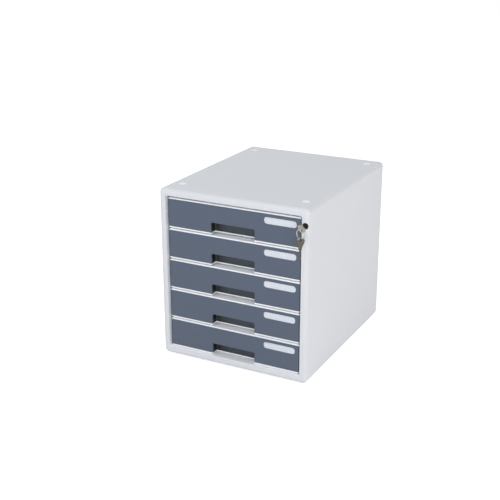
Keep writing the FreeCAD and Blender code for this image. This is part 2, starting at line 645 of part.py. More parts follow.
# ---- Lock pieces ------------------------------------------------------------------------------
def lock_housing():
    """Barrel with a flat round face in front of the shell."""
    start = V(LOCK_X, 0, LOCK_Z)
    face = cylinder(LOCK_FACE_RADIUS, start - Y_AXIS * LOCK_FACE_PROUD, Y_AXIS, LOCK_FACE_PROUD)
    rim = [edge for edge in face.Edges if edge.BoundBox.YMax < -LOCK_FACE_PROUD + TOUCH]
    face = face.makeChamfer(LOCK_FACE_CHAMFER, rim)
    body = face.fuse(cylinder(BARREL_RADIUS, start, Y_AXIS, BARREL_LENGTH))
    before = start - Y_AXIS * (LOCK_FACE_PROUD + PAST)
    bore = cylinder(PLUG_RADIUS + PLUG_CLEARANCE, before, Y_AXIS,
                    LOCK_FACE_PROUD + BARREL_LENGTH + 2 * PAST)
    head_seat = cylinder(PLUG_HEAD_RADIUS + PLUG_CLEARANCE, before, Y_AXIS,
                         PAST + PLUG_HEAD + PLUG_CLEARANCE)
    groove = cylinder(BARREL_RADIUS + PAST, start + Y_AXIS * WALL, Y_AXIS,
                      CLIP_THICKNESS + 2 * CLIP_PLAY)
    groove = groove.cut(cylinder(BARREL_RADIUS - CLIP_GROOVE, start, Y_AXIS, BARREL_LENGTH))
    return body.cut([bore, head_seat, groove]).removeSplitter()


def lock_clip():
    """Spring ring in the barrel's groove, open at the bottom, behind the shell's face."""
    start = V(LOCK_X, WALL + CLIP_PLAY, LOCK_Z)
    ring = cylinder(CLIP_OUTER_RADIUS, start, Y_AXIS, CLIP_THICKNESS)
    ring = ring.cut(cylinder(BARREL_RADIUS - CLIP_GROOVE + CLIP_PLAY, start - Y_AXIS, Y_AXIS,
                             CLIP_THICKNESS + 2))
    mouth = block(LOCK_X - CLIP_MOUTH / 2, LOCK_X + CLIP_MOUTH / 2, 0, BARREL_LENGTH,
                  LOCK_Z - 2 * BARREL_RADIUS, LOCK_Z - BARREL_RADIUS / 2)
    return ring.cut(mouth)


def turned(shape, degrees):
    """Copy of a shape turned about the lock's axis."""
    copy = shape.copy()
    copy.rotate(V(LOCK_X, 0, LOCK_Z), Y_AXIS, degrees)
    return copy


def lock_plug():
    """Turning core with the slanted keyway in front and a square for the cam behind."""
    front = -LOCK_FACE_PROUD - PLUG_CLEARANCE
    start = V(LOCK_X, front, LOCK_Z)
    body = cylinder(PLUG_RADIUS, start, Y_AXIS, BARREL_LENGTH - front)
    head = cylinder(PLUG_HEAD_RADIUS, start, Y_AXIS, PLUG_HEAD)
    half = PLUG_TAIL / 2
    tail = block(LOCK_X - half, LOCK_X + half, BARREL_LENGTH - EMBED, CAM_BACK,
                 LOCK_Z - half, LOCK_Z + half)
    body = body.fuse([head, tail]).removeSplitter()
    half_slot = KEY_THICKNESS / 2 + KEYWAY_PLAY
    half_height = KEY_BLADE_WIDTH / 2 + KEYWAY_PLAY
    tip = -KEY_SHOULDER + BLADE_LENGTH
    keyway = block(LOCK_X - half_slot, LOCK_X + half_slot, front - PAST, tip + 2 * KEYWAY_PLAY,
                   LOCK_Z - half_height, LOCK_Z + half_height)
    screw_hole = cylinder(CAM_SCREW_RADIUS, V(LOCK_X, CAM_BACK + PAST, LOCK_Z), Y_AXIS * -1,
                          CAM_SCREW_LENGTH + PAST)
    return body.cut([turned(keyway, -KEY_LEAN), screw_hole])


def lock_cam():
    """Cam lever: hub on the plug's square, arm, and the pin that lifts the bar."""
    start = V(LOCK_X, CAM_FRONT, LOCK_Z)
    pin_centre = start - X_AXIS * CAM_THROW
    hub = cylinder(CAM_HUB_RADIUS, start, Y_AXIS, CAM_THICKNESS)
    end = cylinder(CAM_ARM_RADIUS, pin_centre, Y_AXIS, CAM_THICKNESS)
    tangent = (CAM_HUB_RADIUS - CAM_ARM_RADIUS) / CAM_THROW
    cosine = math.sqrt(1 - tangent * tangent)
    points = []
    for centre, radius, sides in ((start, CAM_HUB_RADIUS, (1, -1)),
                                  (pin_centre, CAM_ARM_RADIUS, (-1, 1))):
        for side in sides:
            points.append(centre + V(-tangent * radius, 0, side * cosine * radius))
    web = prism(points, Y_AXIS * CAM_THICKNESS)
    pin = cylinder(CAM_PIN_RADIUS, pin_centre, Y_AXIS, BAR_BACK + CAM_PIN_END - CAM_FRONT)
    body = fuse([hub, end, web, pin])
    half = PLUG_TAIL / 2 + CAM_SQUARE_PLAY
    square = block(LOCK_X - half, LOCK_X + half, CAM_FRONT - PAST, CAM_BACK + PAST,
                   LOCK_Z - half, LOCK_Z + half)
    body = turned(body, -KEY_LEAN)
    return body.cut(square)


def cam_screw():
    """Screw that keeps the cam on the plug's square."""
    start = V(LOCK_X, CAM_BACK, LOCK_Z)
    head = cylinder(CAM_SCREW_HEAD_RADIUS, start, Y_AXIS, CAM_SCREW_HEAD)
    shank = cylinder(CAM_SCREW_RADIUS, start, Y_AXIS * -1, CAM_SCREW_LENGTH)
    return head.fuse(shank).removeSplitter()


def lock_bar():
    """Flat bar with one hook per drawer and a slot for the cam's pin."""
    pieces = [block(BAR_INNER, BAR_OUTER, BAR_FRONT, BAR_BACK, FLOOR_TOP + BAR_END_GAP,
                    CEILING - BAR_END_GAP - BAR_STROKE)]
    for index in range(1, DRAWER_COUNT + 1):
        hook_top = drawer_base(index) + FLANGE_RISE - LUG_HEIGHT - LUG_GAP
        points = [V(TRAY_HALF + HOOK_TO_TRAY, BAR_FRONT, hook_top),
                  V(BAR_INNER + EMBED, BAR_FRONT, hook_top),
                  V(BAR_INNER + EMBED, BAR_FRONT, hook_top - HOOK_HEIGHT - HOOK_GUSSET),
                  V(TRAY_HALF + HOOK_TO_TRAY, BAR_FRONT, hook_top - HOOK_HEIGHT)]
        pieces.append(prism(points, Y_AXIS * BAR_THICKNESS))
    slot_half = CAM_PIN_RADIUS + PIN_PLAY
    slot_inner = LOCK_X - CAM_THROW
    slot_outer = LOCK_X - CAM_THROW * math.cos(LEAN)
    reach = slot_half + BAR_HEAD_MARGIN
    head = block(slot_inner - slot_half - BAR_HEAD_SIDE, BAR_OUTER, BAR_FRONT, BAR_BACK,
                 PIN_REST_Z - reach, PIN_REST_Z + reach)
    body = fuse(pieces + [head])
    slot = block(slot_inner, slot_outer, BAR_FRONT - PAST, BAR_BACK + PAST,
                 PIN_REST_Z - slot_half, PIN_REST_Z + slot_half)
    ends = [cylinder(slot_half, V(x, BAR_FRONT - PAST, PIN_REST_Z), Y_AXIS,
                     BAR_THICKNESS + 2 * PAST) for x in (slot_inner, slot_outer)]
    return body.cut([slot] + ends).removeSplitter()


def bar_guides():
    """C-shaped blocks on the shell's wall that keep the bar's outer edge."""
    solids = []
    for index in range(1, DRAWER_COUNT + 1, 2):
        z = drawer_base(index) + FLANGE_RISE - LUG_HEIGHT - HOOK_HEIGHT - GUIDE_BLOCK_DROP
        y0 = BAR_FRONT - SLIDE_GAP - GUIDE_BLOCK_WALL
        y1 = BAR_BACK + SLIDE_GAP + GUIDE_BLOCK_WALL
        guide = block(WALL_INSIDE - GUIDE_BLOCK_WRAP, WALL_INSIDE, y0, y1,
                      z, z + GUIDE_BLOCK_HEIGHT)
        groove = block(0, BAR_OUTER + SLIDE_GAP, BAR_FRONT - SLIDE_GAP, BAR_BACK + SLIDE_GAP,
                       z - PAST, z + GUIDE_BLOCK_HEIGHT + PAST)
        solids.append(guide.cut(groove))
    return Part.makeCompound(solids)


# ---- Keys -------------------------------------------------------------------------------------
def key_blank():
    """Key hanging blade-down in the XZ plane, middle of its hole at the origin."""
    end = KEY_HOLE_FROM_END
    wide = end - KEY_BOW_RADIUS
    neck = end - KEY_BOW_LENGTH
    shoulder = neck - KEY_NECK_LENGTH
    tip = end - KEY_LENGTH
    half_neck, half_blade = KEY_NECK_WIDTH / 2, KEY_BLADE_WIDTH / 2
    taper = KEY_BOW_RADIUS - KEY_BOW_TAPER
    y = -KEY_THICKNESS / 2
    crown = Part.Arc(V(-KEY_BOW_RADIUS, y, wide), V(0, y, end), V(KEY_BOW_RADIUS, y, wide))
    outline = [V(KEY_BOW_RADIUS, y, wide), V(taper, y, wide - KEY_BOW_DROP),
               V(half_neck, y, neck), V(half_neck, y, shoulder), V(half_blade, y, shoulder)]
    first = shoulder - KEY_CUTS_START
    pitch = (first - tip - KEY_TIP) / KEY_CUTS
    for number in range(KEY_CUTS):
        start = first - number * pitch
        floor = half_blade - (KEY_BITE if number % 2 else KEY_SHALLOW_BITE)
        outline += [V(half_blade, y, start), V(floor, y, start - pitch / 3),
                    V(floor, y, start - pitch * 2 / 3)]
    outline += [V(half_blade, y, tip + KEY_TIP), V(half_blade - KEY_TIP_TAPER, y, tip),
                V(0, y, tip), V(-half_blade, y, tip + KEY_TIP), V(-half_blade, y, shoulder),
                V(-half_neck, y, shoulder), V(-half_neck, y, neck),
                V(-taper, y, wide - KEY_BOW_DROP), V(-KEY_BOW_RADIUS, y, wide)]
    wire = Part.Wire([crown.toShape()] + Part.makePolygon(outline).Edges)
    body = Part.Face(wire).extrude(Y_AXIS * KEY_THICKNESS)
    hole = cylinder(KEY_HOLE_RADIUS, V(0, y - PAST, 0), Y_AXIS, KEY_THICKNESS + 2 * PAST)
    half_groove = KEY_GROOVE_WIDTH / 2
    groove = block(-half_groove, half_groove, y - PAST, y + KEY_GROOVE_DEPTH,
                   tip + KEY_TIP, shoulder + KEY_NECK_LENGTH / 2)
    return body.cut([hole, groove])


def key_in_lock():
    """Blade in the keyway, bow in front of the lock, leaning with the plug."""
    key = key_blank()
    key.rotate(V(0, 0, 0), Z_AXIS, 90)
    key.rotate(V(0, 0, 0), X_AXIS, 90)
    key.translate(V(LOCK_X, KEY_HOLE_Y, LOCK_Z))
    return turned(key, -KEY_LEAN)


def key_ring():
    """Split ring hanging in the key's hole, drawn as two turns with a groove between."""
    wire, split, bevel = RING_WIRE, RING_SPLIT, RING_BEVEL
    profile = [(-wire, -wire + bevel), (wire - bevel, -wire), (wire, -wire + bevel),
               (wire, -split), (wire - split, 0), (wire, split),
               (wire, wire - bevel), (wire - bevel, wire), (-wire, wire - bevel)]
    points = [V(RING_RADIUS + radial, axial, 0) for radial, axial in profile]
    face = Part.Face(Part.makePolygon(points + [points[0]]))
    ring = face.revolve(V(0, 0, 0), Y_AXIS, 360)
    ring.rotate(V(0, 0, 0), Z_AXIS, RING_YAW)
    ring.translate(V(LOCK_X, KEY_HOLE_Y, LOCK_Z - RING_RADIUS))
    return ring


def spare_key():
    """Second key, hanging on the lowest point of the ring."""
    key = key_blank()
    key.rotate(V(0, 0, 0), Z_AXIS, SPARE_YAW)
    drop = KEY_HOLE_RADIUS - RING_WIRE - HANG_GAP
    key.translate(V(LOCK_X, KEY_HOLE_Y, LOCK_Z - 2 * RING_RADIUS - drop))
    return key


# ---- Build ------------------------------------------------------------------------------------
os.makedirs("parts", exist_ok=True)
save("cabinet_shell", cabinet_shell())
save("back_panel", back_panel())
save("feet", feet())
right_runner = runner_panel()
save("runner_panel_right", right_runner)
save("runner_panel_left", mirrored(right_runner))
save("back_screws", back_screws())
for number in range(1, DRAWER_COUNT + 1):
    lower_edge = drawer_base(number)
    name = "drawer_" + str(number)
    save(name + "_frame", drawer_frame(lower_edge))
    save(name + "_tray", drawer_tray(lower_edge))
    save(name + "_runners", runner_strips(lower_edge))
    save(name + "_front", drawer_front(lower_edge))
    save(name + "_label_card", label_card(lower_edge))
    save(name + "_label_cover", label_cover(lower_edge))
save("lock_housing", lock_housing())
save("lock_clip", lock_clip())
save("lock_plug", lock_plug())
save("lock_cam", lock_cam())
save("cam_screw", cam_screw())
save("lock_bar", lock_bar())
save("bar_guides", bar_guides())
save("key_in_lock", key_in_lock())
save("key_ring", key_ring())
save("spare_key", spare_key())
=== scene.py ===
import math

import bmesh
import bpy
from mathutils import Matrix, Vector


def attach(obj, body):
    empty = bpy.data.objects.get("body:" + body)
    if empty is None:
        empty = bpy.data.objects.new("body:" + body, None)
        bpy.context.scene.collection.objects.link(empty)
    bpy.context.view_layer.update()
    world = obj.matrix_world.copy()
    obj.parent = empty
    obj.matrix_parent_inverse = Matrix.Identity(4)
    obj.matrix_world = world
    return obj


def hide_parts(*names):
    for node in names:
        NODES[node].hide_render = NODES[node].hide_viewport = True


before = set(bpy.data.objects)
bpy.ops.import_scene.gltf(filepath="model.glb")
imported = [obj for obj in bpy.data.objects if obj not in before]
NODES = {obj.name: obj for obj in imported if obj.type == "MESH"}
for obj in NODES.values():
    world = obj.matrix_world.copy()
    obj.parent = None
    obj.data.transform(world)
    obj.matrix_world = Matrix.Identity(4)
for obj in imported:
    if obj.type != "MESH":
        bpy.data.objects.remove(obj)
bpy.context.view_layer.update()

# The pieces are made in millimetres with x = 0 on the middle plane, y = 0 on the front face
# and z = 0 on the shell's underside, and go into the frame in metres when they are finished.
TO_FRAME = Matrix.Scale(0.001, 4) @ Matrix.Translation((0, -184, 3))
FROM_FRAME = TO_FRAME.inverted()
scene = bpy.context.scene

# ---- Sizes in millimetres ---------------------------------------------------------------
HALF, DEPTH, HEIGHT = 150.0, 368.0, 330.0
EDGE_RADIUS, WALL = 8.0, 3.0
OPENING_HALF, OPENING_BOTTOM, OPENING_TOP = 136.7, 15.5, 316.5
OPENING_CORNER, OPENING_ROUND = 3.0, 2.0
COLLAR_WALL, COLLAR_DEPTH, SILL_DEPTH = 2.3, 10.0, 27.0
DISH_RADIUS, DISH_FLOOR, DISH_DEPTH, DISH_ROUND = 7.6, 6.4, 1.2, 0.35
DISH_X, DISH_FRONT_Y, DISH_BACK_Y = 125.0, 43.0, 333.0
DISH_FIELD = 12.0                 # half the side of the square face round a dish
DISH_CUTS = 9                     # new points on each side of that square, for a round rim
# Depth at which the casing ends: there the rounded rear edge has come in by the wall
REAR = DEPTH - EDGE_RADIUS + math.sqrt(EDGE_RADIUS ** 2 - (EDGE_RADIUS - WALL) ** 2)
REAR_LIP = 1.2                    # last strip of the inner wall, which meets that edge
CARD_FRONT, CARD_THINNED = 6.2, 0.08
DRAWERS = range(1, 6)
LOCK = Vector((144.0, 0.0, 300.7))
PAD_RADIUS, PAD_BASE, PAD_DEPTH, PAD_ROUND = 6.2, 8.0, 8.0, 0.5
KEY_HOLE = Vector((144.0, -19.66, 300.7))
RING_RADIUS, RING_YAW = 8.4, math.radians(-15.5)
RING_TURN_OFFSET = 0.35           # from the ring's middle to the middle of each turn of wire
# Section of the flat wire from its middle: (outwards, along the ring's axis)
RING_WIRE = [(-0.5, -0.33), (0.5, -0.33), (0.65, -0.2), (0.65, 0.2), (0.5, 0.33),
             (-0.5, 0.33), (-0.65, 0.2), (-0.65, -0.2)]

# ---- Limits -----------------------------------------------------------------------------
CLOSE = 0.01                      # millimetres; places that lie closer count as the same
SHARP_ANGLE = math.radians(35.0)  # an edge that folds by more than this is an edge to round
RING_SHARP_ANGLE = math.radians(50.0)
FLAT_ANGLE = math.radians(0.5)    # faces that fold by less than this are merged

# ---- Painted shade, light and reflection that depend on the place, in millimetres -------
# Fade from nothing to the full tone: (start, end)
# Painted shade that deepens into the finger pockets, with a painted shadow in their left corners
POCKET_PAINTED_SHADE_Y = (6.5, 11.0)       # from the panel's face into a finger pocket
POCKET_CORNER_PAINTED_SHADOW_X = (-14.0, -40.0)  # from the middle of a pocket to its left corner
# Painted dark reflection on the spare key, fading in from this height down
SPARE_KEY_PAINTED_REFLECTION_Z = (287.0, 282.0)
# Painted light on the opening's inner walls, which lie in shade
OPENING_PAINTED_LIGHT_START_Y = (0.0, 1.2)
OPENING_PAINTED_LIGHT_END_Y = (SILL_DEPTH + 1.0, SILL_DEPTH + 0.5)
# Full tone between two places, and the length of the fade outside them: (low, high, fade)
OPENING_PAINTED_LIGHT_X = (-OPENING_HALF - 0.2, OPENING_HALF + 0.2, 0.7)
OPENING_PAINTED_LIGHT_Z = (OPENING_BOTTOM - 0.5, OPENING_TOP + 0.5, 1.0)
# Painted highlight: the stacking dishes lighter than the top round them
DISH_PAINTED_HIGHLIGHT_X = (-DISH_X - 11.0, DISH_X + 11.0, 1.0)
DISH_PAINTED_HIGHLIGHT_Y = (DISH_FRONT_Y - 11.0, DISH_BACK_Y + 11.0, 1.0)
DISH_PAINTED_HIGHLIGHT_Z = (HEIGHT - DISH_DEPTH - 0.4, HEIGHT - 0.4, 0.3)

# ---- Scuffs and fine relief -------------------------------------------------------------
SCUFF_SHARE, SCUFF_ROUGHNESS = 0.35, 0.12
GRAIN_RELIEF, STREAK_RELIEF = 0.0001, 0.00005   # metres
STREAK_BUMP = 0.15

# ---- Floor and light --------------------------------------------------------------------
FLOOR_REACH = 6.0                 # metres from the middle to the floor's edge
FLOOR_GLOW = 0.72                 # lifts the pale floor to white for the rays that show it
WORLD_LIGHT = 0.42                # strength of the world's light on the cabinet

# ---- Camera: lens in millimetres, place in metres ---------------------------------------
CAMERA_LENS, CAMERA_SENSOR = 68.54, 36.0
CAMERA_PLACE = (0.76953, -1.58745, 0.81313)
CAMERA_RIGHT = Vector((0.88693869, 0.46188560, -0.00120613))
CAMERA_UP = Vector((-0.15547010, 0.30099931, 0.94086581))


def add_camera():
    """Camera that looks down on the front and the right side."""
    data = bpy.data.cameras.new("camera")
    data.lens = CAMERA_LENS
    data.sensor_width = CAMERA_SENSOR
    camera = bpy.data.objects.new("camera", data)
    scene.collection.objects.link(camera)
    back = CAMERA_RIGHT.cross(CAMERA_UP)
    turn = Matrix((CAMERA_RIGHT, CAMERA_UP, back)).transposed().to_4x4()
    camera.matrix_world = Matrix.Translation(CAMERA_PLACE) @ turn
    scene.camera = camera


# ---- Shader building --------------------------------------------------------------------
def link(tree, source, target):
    tree.links.new(source, target)


def add_node(tree, kind, **values):
    node = tree.nodes.new(kind)
    for name, value in values.items():
        setattr(node, name, value)
    return node


def new_group(name, inputs, outputs):
    """Empty node group with float sockets: the group, its input and its output node."""
    group = bpy.data.node_groups.new(name, "ShaderNodeTree")
    for socket in inputs:
        group.interface.new_socket(socket, in_out="INPUT", socket_type="NodeSocketFloat")
    for socket in outputs:
        group.interface.new_socket(socket, in_out="OUTPUT", socket_type="NodeSocketFloat")
    return group, add_node(group, "NodeGroupInput"), add_node(group, "NodeGroupOutput")


def grain_group():
    """Moulded texture: height for a bump, a slow mottle and faint scuffs."""
    group, start, end = new_group("moulded_grain", ["Scale"], ["Height", "Mottle", "Scuffs"])
    place = add_node(group, "ShaderNodeTexCoord")
    fine = add_node(group, "ShaderNodeTexNoise")
    fine.inputs["Detail"].default_value = 3.0
    link(group, place.outputs["Object"], fine.inputs["Vector"])
    link(group, start.outputs["Scale"], fine.inputs["Scale"])
    pits = add_node(group, "ShaderNodeTexVoronoi")
    link(group, place.outputs["Object"], pits.inputs["Vector"])
    link(group, start.outputs["Scale"], pits.inputs["Scale"])
    height = add_node(group, "ShaderNodeMath", operation="ADD")
    link(group, fine.outputs["Fac"], height.inputs[0])
    link(group, pits.outputs["Distance"], height.inputs[1])
    link(group, height.outputs[0], end.inputs["Height"])
    slow = add_node(group, "ShaderNodeTexNoise")
    slow.inputs["Scale"].default_value = 9.0
    slow.inputs["Detail"].default_value = 2.0
    link(group, place.outputs["Object"], slow.inputs["Vector"])
    link(group, slow.outputs["Fac"], end.inputs["Mottle"])
    stretch = add_node(group, "ShaderNodeMapping")
    stretch.inputs["Scale"].default_value = (1.0, 1.0, 9.0)
    stretch.inputs["Rotation"].default_value = (0.3, 0.2, 0.5)
    link(group, place.outputs["Object"], stretch.inputs["Vector"])
    lines = add_node(group, "ShaderNodeTexNoise")
    lines.inputs["Scale"].default_value = 60.0
    lines.inputs["Detail"].default_value = 4.0
    link(group, stretch.outputs["Vector"], lines.inputs["Vector"])
    ramp = add_node(group, "ShaderNodeMapRange")
    ramp.inputs["From Min"].default_value = 0.62
    ramp.inputs["From Max"].default_value = 0.78
    link(group, lines.outputs["Fac"], ramp.inputs["Value"])
    link(group, ramp.outputs["Result"], end.inputs["Scuffs"])
    return group


def streaks_group():
    """Fine streaks of plated or rolled metal; Lengthwise above 1 squeezes them along Z."""
    group, start, end = new_group("metal_streaks", ["Scale", "Lengthwise"], ["Streaks"])
    place = add_node(group, "ShaderNodeTexCoord")
    scales = add_node(group, "ShaderNodeCombineXYZ")
    scales.inputs["X"].default_value = 1.0
    scales.inputs["Y"].default_value = 1.0
    link(group, start.outputs["Lengthwise"], scales.inputs["Z"])
    mapping = add_node(group, "ShaderNodeMapping")
    link(group, scales.outputs["Vector"], mapping.inputs["Scale"])
    link(group, place.outputs["Object"], mapping.inputs["Vector"])
    noise = add_node(group, "ShaderNodeTexNoise")
    noise.inputs["Detail"].default_value = 4.0
    link(group, start.outputs["Scale"], noise.inputs["Scale"])
    link(group, mapping.outputs["Vector"], noise.inputs["Vector"])
    link(group, noise.outputs["Fac"], end.inputs["Streaks"])
    return group


def place_group():
    """Ramps over the place on each axis: 0 up to From and 1 from To on, both in metres."""
    group, start, end = new_group("place_ramps", ["From", "To"], ["X", "Y", "Z"])
    place = add_node(group, "ShaderNodeTexCoord")
    parts = add_node(group, "ShaderNodeSeparateXYZ")
    link(group, place.outputs["Object"], parts.inputs["Vector"])
    for axis in "XYZ":
        ramp = add_node(group, "ShaderNodeMapRange")
        link(group, parts.outputs[axis], ramp.inputs["Value"])
        link(group, start.outputs["From"], ramp.inputs["From Min"])
        link(group, start.outputs["To"], ramp.inputs["From Max"])
        link(group, ramp.outputs["Result"], end.inputs[axis])
    return group


GRAIN = grain_group()
STREAKS = streaks_group()
PLACE_RAMPS = place_group()


def new_material(name):
    """Empty node material: the material, its tree and its shader."""
    material = bpy.data.materials.new(name)
    material.use_nodes = True
    tree = material.node_tree
    return material, tree, tree.nodes["Principled BSDF"]


def mix_colour(tree, factor, first, second):
    """Colour between two others; each is a socket or a plain colour."""
    mix = add_node(tree, "ShaderNodeMix", data_type="RGBA")
    link(tree, factor, mix.inputs["Factor"])
    for value, socket in ((first, mix.inputs["A"]), (second, mix.inputs["B"])):
        if isinstance(value, bpy.types.NodeSocket):
            link(tree, value, socket)
        else:
            socket.default_value = (*value, 1.0)
    return mix.outputs["Result"]


def spread(tree, source, low, high):
    """Values 0 to 1 stretched to low to high."""
    node = add_node(tree, "ShaderNodeMapRange")
    node.inputs["To Min"].default_value = low
    node.inputs["To Max"].default_value = high
    link(tree, source, node.inputs["Value"])
    return node.outputs["Result"]


def along(tree, axis, start, end):
    """0 up to a place on an axis and 1 from another place on; both in millimetres."""
    ramps = add_node(tree, "ShaderNodeGroup", node_tree=PLACE_RAMPS)
    shift = TO_FRAME.translation["XYZ".index(axis)]
    ramps.inputs["From"].default_value = start / 1000 + shift
    ramps.inputs["To"].default_value = end / 1000 + shift
    return ramps.outputs[axis]


def add_bump(tree, shader, height, strength, distance):
    """Fine relief on a shader's normal; the distance is in metres."""
    bumps = add_node(tree, "ShaderNodeBump")
    bumps.inputs["Strength"].default_value = strength
    bumps.inputs["Distance"].default_value = distance
    link(tree, height, bumps.inputs["Height"])
    link(tree, bumps.outputs["Normal"], shader.inputs["Normal"])


def product(tree, *values):
    """All values multiplied."""
    total = values[0]
    for value in values[1:]:
        node = add_node(tree, "ShaderNodeMath", operation="MULTIPLY")
        link(tree, total, node.inputs[0])
        link(tree, value, node.inputs[1])
        total = node.outputs["Value"]
    return total


def within(tree, axis, low, high, fade):
    """1 between two places on an axis, fading to 0 over a length outside them."""
    return product(tree, along(tree, axis, low - fade, low),
                   along(tree, axis, high + fade, high))


def plastic(name, dark, light, roughness, grain_scale, bump, scuff=None, pocket=None,
            inside=None, dish=None):
    """Moulded plastic: mottled colour, grain and faint handling marks.

    pocket holds the painted shade in the finger pockets and the painted shadow in their left
    corners, inside the painted light on the opening's wall and dish the painted highlight in the
    stacking dishes.
    """
    material, tree, shader = new_material(name + "_finish")
    grain = add_node(tree, "ShaderNodeGroup", node_tree=GRAIN)
    grain.inputs["Scale"].default_value = grain_scale
    colour = mix_colour(tree, grain.outputs["Mottle"], dark, light)
    if scuff:
        marks = spread(tree, grain.outputs["Scuffs"], 0.0, SCUFF_SHARE)
        colour = mix_colour(tree, marks, colour, scuff)
    # Painted shade inside the finger pockets, darker still as a painted shadow in their left
    # corners
    if pocket:
        tone, corner_shadow_colour = pocket
        deep = along(tree, "Y", *POCKET_PAINTED_SHADE_Y)
        colour = mix_colour(tree, deep, colour, tone)
        corner = product(tree, deep, along(tree, "X", *POCKET_CORNER_PAINTED_SHADOW_X))
        colour = mix_colour(tree, corner, colour, corner_shadow_colour)
    # Painted light: the opening's inner walls made lighter, as if lit as strongly as the front
    if inside:
        opening = product(tree, along(tree, "Y", *OPENING_PAINTED_LIGHT_START_Y),
                          along(tree, "Y", *OPENING_PAINTED_LIGHT_END_Y),
                          within(tree, "X", *OPENING_PAINTED_LIGHT_X),
                          within(tree, "Z", *OPENING_PAINTED_LIGHT_Z))
        colour = mix_colour(tree, opening, colour, inside)
    # Painted highlight in the stacking dishes
    if dish:
        dish_highlight_mask = product(tree, within(tree, "X", *DISH_PAINTED_HIGHLIGHT_X), within(tree, "Y", *DISH_PAINTED_HIGHLIGHT_Y),
                       within(tree, "Z", *DISH_PAINTED_HIGHLIGHT_Z))
        colour = mix_colour(tree, dish_highlight_mask, colour, dish)
    link(tree, colour, shader.inputs["Base Color"])
    rough = spread(tree, grain.outputs["Scuffs"], roughness, roughness + SCUFF_ROUGHNESS)
    link(tree, rough, shader.inputs["Roughness"])
    add_bump(tree, shader, grain.outputs["Height"], bump, GRAIN_RELIEF)
    return material


def metal(name, dark, light, roughness, uneven, scale, lengthwise, painted_dark_reflection=None):
    """Plated or rolled metal: streaked tone and roughness, with a painted dark reflection that
    darkens the spare key below a height.
    """
    material, tree, shader = new_material(name + "_finish")
    shader.inputs["Metallic"].default_value = 1.0
    streaks = add_node(tree, "ShaderNodeGroup", node_tree=STREAKS)
    streaks.inputs["Scale"].default_value = scale
    streaks.inputs["Lengthwise"].default_value = lengthwise
    colour = mix_colour(tree, streaks.outputs["Streaks"], dark, light)
    # Painted dark reflection: darker below a height, which takes in the spare key
    if painted_dark_reflection:
        colour = mix_colour(tree, along(tree, "Z", *SPARE_KEY_PAINTED_REFLECTION_Z), colour, painted_dark_reflection)
    link(tree, colour, shader.inputs["Base Color"])
    rough = spread(tree, streaks.outputs["Streaks"], roughness, roughness + uneven)
    link(tree, rough, shader.inputs["Roughness"])
    add_bump(tree, shader, streaks.outputs["Streaks"], STREAK_BUMP, STREAK_RELIEF)
    return material


def paper_card():
    """Pale card with fine fibres."""
    material, tree, shader = new_material("card_finish")
    shader.inputs["Roughness"].default_value = 0.85
    place = add_node(tree, "ShaderNodeTexCoord")
    fibres = add_node(tree, "ShaderNodeTexNoise")
    fibres.inputs["Scale"].default_value = 1400.0
    fibres.inputs["Detail"].default_value = 5.0
    link(tree, place.outputs["Object"], fibres.inputs["Vector"])
    colour = mix_colour(tree, fibres.outputs["Fac"], (0.75, 0.78, 0.86), (0.79, 0.82, 0.90))
    link(tree, colour, shader.inputs["Base Color"])
    return material


def clear_plastic():
    """Thin clear sheet with a slight haze."""
    material, tree, shader = new_material("clear_cover_finish")
    shader.inputs["Base Color"].default_value = (0.95, 0.97, 1.0, 1.0)
    shader.inputs["Alpha"].default_value = 0.12
    place = add_node(tree, "ShaderNodeTexCoord")
    haze = add_node(tree, "ShaderNodeTexNoise")
    haze.inputs["Scale"].default_value = 70.0
    link(tree, place.outputs["Object"], haze.inputs["Vector"])
    link(tree, spread(tree, haze.outputs["Fac"], 0.06, 0.2), shader.inputs["Roughness"])
    return material


# ---- Finishes ---------------------------------------------------------------------------
# The opening's inner walls get painted light and the stacking dishes a painted highlight
SHELL = plastic("shell_plastic", (0.735, 0.755, 0.795), (0.755, 0.775, 0.815),
                roughness=0.6, grain_scale=1600.0, bump=0.10, scuff=(0.68, 0.69, 0.71),
                inside=(0.97, 0.98, 1.0), dish=(0.92, 0.94, 0.97))
TRAY = plastic("tray_plastic", (0.92, 0.94, 0.975), (0.945, 0.965, 1.0),
               roughness=0.40, grain_scale=1500.0, bump=0.06)
# Its pocket tones are painted shade in the finger pockets and a painted shadow in their left
# corners
SLATE = plastic("slate_plastic", (0.074, 0.097, 0.144), (0.082, 0.105, 0.154),
                roughness=0.5, grain_scale=1900.0, bump=0.10, scuff=(0.10, 0.12, 0.16),
                pocket=((0.025, 0.033, 0.050), (0.003, 0.004, 0.006)))
RUNNER = plastic("runner_plastic", (0.50, 0.51, 0.53), (0.56, 0.57, 0.59),
                 roughness=0.38, grain_scale=1200.0, bump=0.05)
RUBBER = plastic("rubber", (0.018, 0.018, 0.018), (0.026, 0.026, 0.026),
                 roughness=0.75, grain_scale=900.0, bump=0.3)
CARD = paper_card()
CLEAR = clear_plastic()
SCREW = metal("zinc_screw", (0.45, 0.45, 0.44), (0.62, 0.62, 0.60),
              roughness=0.28, uneven=0.2, scale=700.0, lengthwise=1.0)
DARK_NICKEL = metal("black_nickel", (0.020, 0.015, 0.013), (0.065, 0.048, 0.042),
                    roughness=0.22, uneven=0.2, scale=900.0, lengthwise=1.0)
LOCK_STEEL = metal("lock_steel", (0.36, 0.36, 0.37), (0.52, 0.52, 0.53),
                   roughness=0.3, uneven=0.2, scale=260.0, lengthwise=6.0)
# Its last tone is a painted dark reflection on the spare key
KEY_NICKEL = metal("key_nickel", (0.26, 0.245, 0.225), (0.50, 0.48, 0.44),
                   roughness=0.12, uneven=0.18, scale=520.0, lengthwise=3.0,
                   painted_dark_reflection=(0.10, 0.095, 0.08))


# ---- Mesh helpers -----------------------------------------------------------------------
def near(value, target):
    return abs(value - target) < CLOSE


